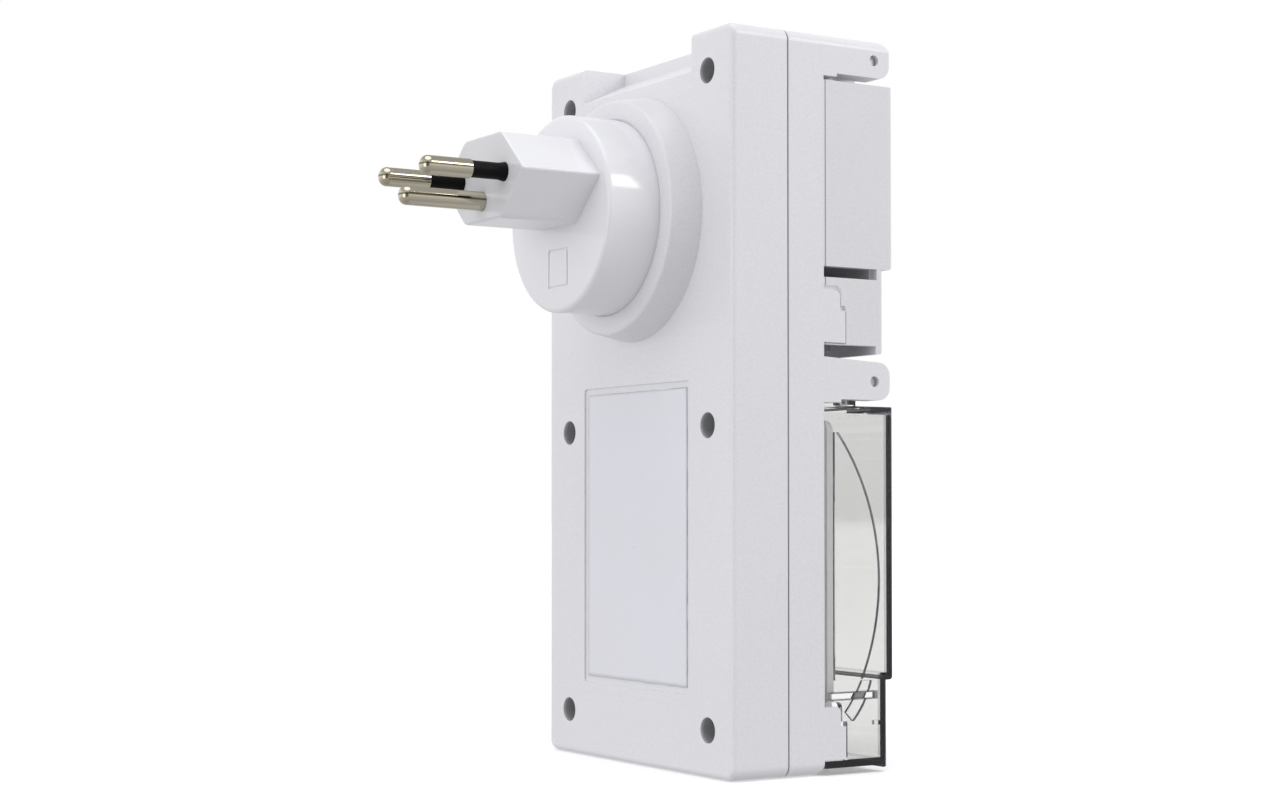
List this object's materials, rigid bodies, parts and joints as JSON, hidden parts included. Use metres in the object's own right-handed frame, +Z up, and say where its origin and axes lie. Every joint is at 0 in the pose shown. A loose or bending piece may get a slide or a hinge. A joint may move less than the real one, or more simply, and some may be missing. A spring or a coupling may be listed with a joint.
{
  "type": "digital plug-in timer",
  "caption": "White plug-in timer for a Swiss earthed outlet: flat case with a hexagonal plug, a sprung lid over its own outlet and a clear sprung lid over its display and keys.",
  "frame": {"origin": "middle of the plug's end face, half way between the line and neutral pins", "axes": "+Y out of the back along the plug pins, +Z up along the case, lids face -Y"},
  "size_m": [0.075, 0.0979, 0.1545],
  "materials": {
    "white_plastic": "fine matt",
    "black_plastic": "satin",
    "grey_plastic": "fine matt",
    "key_plastic": "satin",
    "blue_plastic": "satin",
    "yellow_plastic": "satin",
    "resistor_lacquer": "gloss",
    "clear_plastic": "polished",
    "film": "satin",
    "label_paper": "satin",
    "display_glass": "polished",
    "nickel": "polished",
    "screw_steel": "zinc plated",
    "spring_steel": "drawn wire",
    "can_metal": "satin",
    "copper_strip": "rolled",
    "contact_brass": "rolled",
    "rubber": "matt",
    "silicone": "matt",
    "board": "solder mask"
  },
  "bodies": {
    "housing": {"rear_shell": "white_plastic", "front_shell": "white_plastic", "shell_gasket": "rubber", "housing_screws": "screw_steel", "rating_label": "label_paper", "plug_insert": "white_plastic", "line_pin": "nickel", "neutral_pin": "nickel", "earth_pin": "nickel", "pin_sleeves": "black_plastic", "plug_insert_screws": "screw_steel", "line_link": "copper_strip", "neutral_link": "copper_strip", "load_link": "copper_strip", "earth_link": "copper_strip", "outlet_collar": "white_plastic", "contact_carrier": "grey_plastic", "outlet_line_contact": "contact_brass", "outlet_neutral_contact": "contact_brass", "outlet_earth_contact": "contact_brass", "outlet_screws": "screw_steel", "socket_seal": "rubber", "socket_lid_pin": "screw_steel", "socket_lid_spring": "spring_steel", "display_lid_pin": "screw_steel", "display_lid_spring": "spring_steel", "control_panel": "grey_plastic", "panel_screws": "screw_steel", "display_seal": "rubber", "fascia_film": "film", "display_window": "clear_plastic", "keypad_mat": "silicone", "lcd_glass": "display_glass", "lcd_frame": "black_plastic", "zebra_strips": "silicone", "control_board": "board", "board_screws": "screw_steel", "microcontroller": "black_plastic", "quartz_crystal": "can_metal", "backup_cell": "can_metal", "cell_clip": "can_metal", "power_board": "board", "relay": "blue_plastic", "film_capacitor": "yellow_plastic", "smoothing_capacitor": "black_plastic", "varistor": "blue_plastic", "fuse": "can_metal", "fuse_clips": "contact_brass", "dropper_resistor": "resistor_lacquer", "rectifier_diodes": "black_plastic", "board_header": "black_plastic"},
    "socket_lid": {"socket_lid": "white_plastic"},
    "display_lid": {"display_lid": "clear_plastic"},
    "key_clock": {"key_clock": "key_plastic"},
    "key_programme": {"key_programme": "key_plastic"},
    "key_manual": {"key_manual": "key_plastic"},
    "key_minus": {"key_minus": "key_plastic"},
    "key_plus": {"key_plus": "key_plastic"},
    "key_random": {"key_random": "key_plastic"},
    "reset_button": {"reset_button": "key_plastic"}
  },
  "joints": [
    {"name": "socket_lid_hinge", "type": "hinge", "parent": "housing", "child": "socket_lid", "pos_m": [0, -0.0738, 0.0259], "axis": [-1, 0, 0], "range_deg": [0, 100], "stiffness_Nm_per_rad": 0.02, "springref_deg": -34.38, "deforming": ["socket_lid_spring"]},
    {"name": "display_lid_hinge", "type": "hinge", "parent": "housing", "child": "display_lid", "pos_m": [0, -0.0738, -0.0422], "axis": [-1, 0, 0], "range_deg": [0, 100], "stiffness_Nm_per_rad": 0.02, "springref_deg": -34.38, "deforming": ["display_lid_spring"]},
    {"name": "clock_key_press", "type": "slide", "parent": "housing", "child": "key_clock", "axis": [0, 1, 0], "range_m": [0, 0.0006], "stiffness_N_per_m": 400},
    {"name": "programme_key_press", "type": "slide", "parent": "housing", "child": "key_programme", "axis": [0, 1, 0], "range_m": [0, 0.0006], "stiffness_N_per_m": 400},
    {"name": "manual_key_press", "type": "slide", "parent": "housing", "child": "key_manual", "axis": [0, 1, 0], "range_m": [0, 0.0006], "stiffness_N_per_m": 400},
    {"name": "minus_key_press", "type": "slide", "parent": "housing", "child": "key_minus", "axis": [0, 1, 0], "range_m": [0, 0.0006], "stiffness_N_per_m": 400},
    {"name": "plus_key_press", "type": "slide", "parent": "housing", "child": "key_plus", "axis": [0, 1, 0], "range_m": [0, 0.0006], "stiffness_N_per_m": 400},
    {"name": "random_key_press", "type": "slide", "parent": "housing", "child": "key_random", "axis": [0, 1, 0], "range_m": [0, 0.0006], "stiffness_N_per_m": 400},
    {"name": "reset_press", "type": "slide", "parent": "housing", "child": "reset_button", "axis": [0, 1, 0], "range_m": [0, 0.0006], "stiffness_N_per_m": 400}
  ]
}
